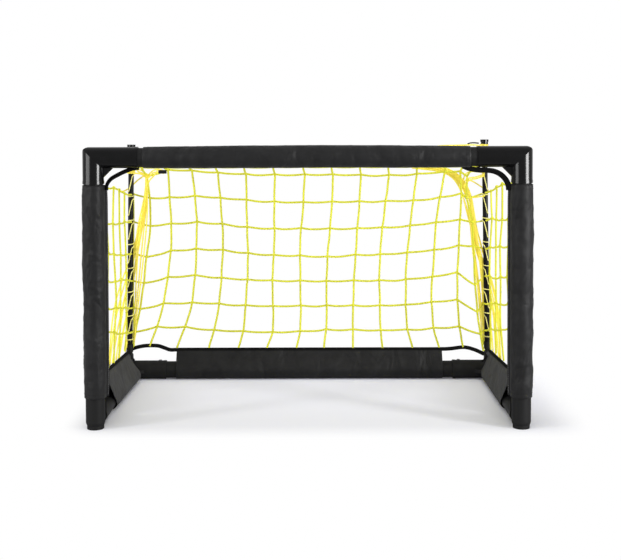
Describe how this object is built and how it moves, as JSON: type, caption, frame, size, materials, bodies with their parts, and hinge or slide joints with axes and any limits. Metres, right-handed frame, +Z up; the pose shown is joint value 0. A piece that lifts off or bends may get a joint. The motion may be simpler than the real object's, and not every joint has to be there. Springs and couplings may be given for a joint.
{
  "type": "hockey goal net",
  "caption": "Folding street hockey goal: a black tube frame with cloth sleeves, a net, and two rear uprights that fold in as the front frame folds down.",
  "frame": {"origin": "on the floor, under the middle of the goal's bounding box", "axes": "+X along the goal's width, to the right as seen from the front; the mouth faces -Y; +Z up"},
  "size_m": [0.8394, 0.4063, 0.528],
  "materials": {
    "gloss_black_plastic": "moulded black plastic with a gloss finish",
    "black_plastic": "moulded black plastic, satin",
    "black_tube": "extruded black plastic tube, satin",
    "rod_black": "black fibre-reinforced plastic rod",
    "sleeve_cloth": "black woven polyester cloth",
    "binding_tape": "black woven edge tape",
    "net_cord": "twisted yellow net cord",
    "zinc_steel": "steel, blackened"
  },
  "bodies": {
    "base": {"base_screws": "zinc_steel", "left_hinge_bracket": "black_plastic", "left_hinge_pin": "zinc_steel", "left_net": "net_cord", "left_net_bundle": "net_cord", "left_rear_corner": "black_plastic", "left_side_binding": "binding_tape", "left_side_sleeve": "sleeve_cloth", "left_side_tube": "black_tube", "left_upright_pin": "zinc_steel", "net_clip": "black_plastic", "rear_binding": "binding_tape", "rear_net": "net_cord", "rear_sleeve": "sleeve_cloth", "rear_tube": "black_tube", "right_hinge_bracket": "black_plastic", "right_hinge_pin": "zinc_steel", "right_net": "net_cord", "right_net_bundle": "net_cord", "right_rear_corner": "black_plastic", "right_side_binding": "binding_tape", "right_side_sleeve": "sleeve_cloth", "right_side_tube": "black_tube", "right_upright_pin": "zinc_steel", "roof_net": "net_cord"},
    "front_frame": {"crossbar_sleeve": "sleeve_cloth", "crossbar_tube": "black_tube", "frame_screws": "zinc_steel", "left_corner_tape": "binding_tape", "left_foot": "black_plastic", "left_hinge_lug": "black_plastic", "left_post_sleeve": "sleeve_cloth", "left_post_tube": "black_tube", "left_top_elbow": "gloss_black_plastic", "right_corner_tape": "binding_tape", "right_foot": "black_plastic", "right_hinge_lug": "black_plastic", "right_post_sleeve": "sleeve_cloth", "right_post_tube": "black_tube", "right_top_elbow": "gloss_black_plastic"},
    "left_upright": {"left_corner_cord": "net_cord", "left_lacing": "net_cord", "left_upright_cap": "gloss_black_plastic", "left_upright_knuckle": "black_plastic", "left_upright_rod": "rod_black"},
    "right_upright": {"right_corner_cord": "net_cord", "right_lacing": "net_cord", "right_upright_cap": "gloss_black_plastic", "right_upright_knuckle": "black_plastic", "right_upright_rod": "rod_black"}
  },
  "joints": [
    {"name": "front_fold", "type": "hinge", "parent": "base", "child": "front_frame", "pos_m": [0, -0.15275, 0.058], "axis": [-1, 0, 0], "range_deg": [0, 84], "deforming": ["rear_net", "roof_net", "left_net", "right_net", "net_clip", "left_net_bundle", "right_net_bundle", "left_side_sleeve", "right_side_sleeve", "left_side_binding", "right_side_binding", "rear_binding", "rear_sleeve"]},
    {"name": "left_upright_fold", "type": "hinge", "parent": "base", "child": "left_upright", "pos_m": [-0.39375, 0.17175, 0.052], "axis": [0, 1, 0], "range_deg": [0, 89.1]},
    {"name": "right_upright_fold", "type": "hinge", "parent": "base", "child": "right_upright", "pos_m": [0.39375, 0.19375, 0.052], "axis": [0, -1, 0], "range_deg": [0, 89.1]}
  ],
  "couplings": [
    {"joint": "left_upright_fold", "follows": "front_fold", "ratio": 1.06},
    {"joint": "right_upright_fold", "follows": "front_fold", "ratio": 1.06}
  ]
}
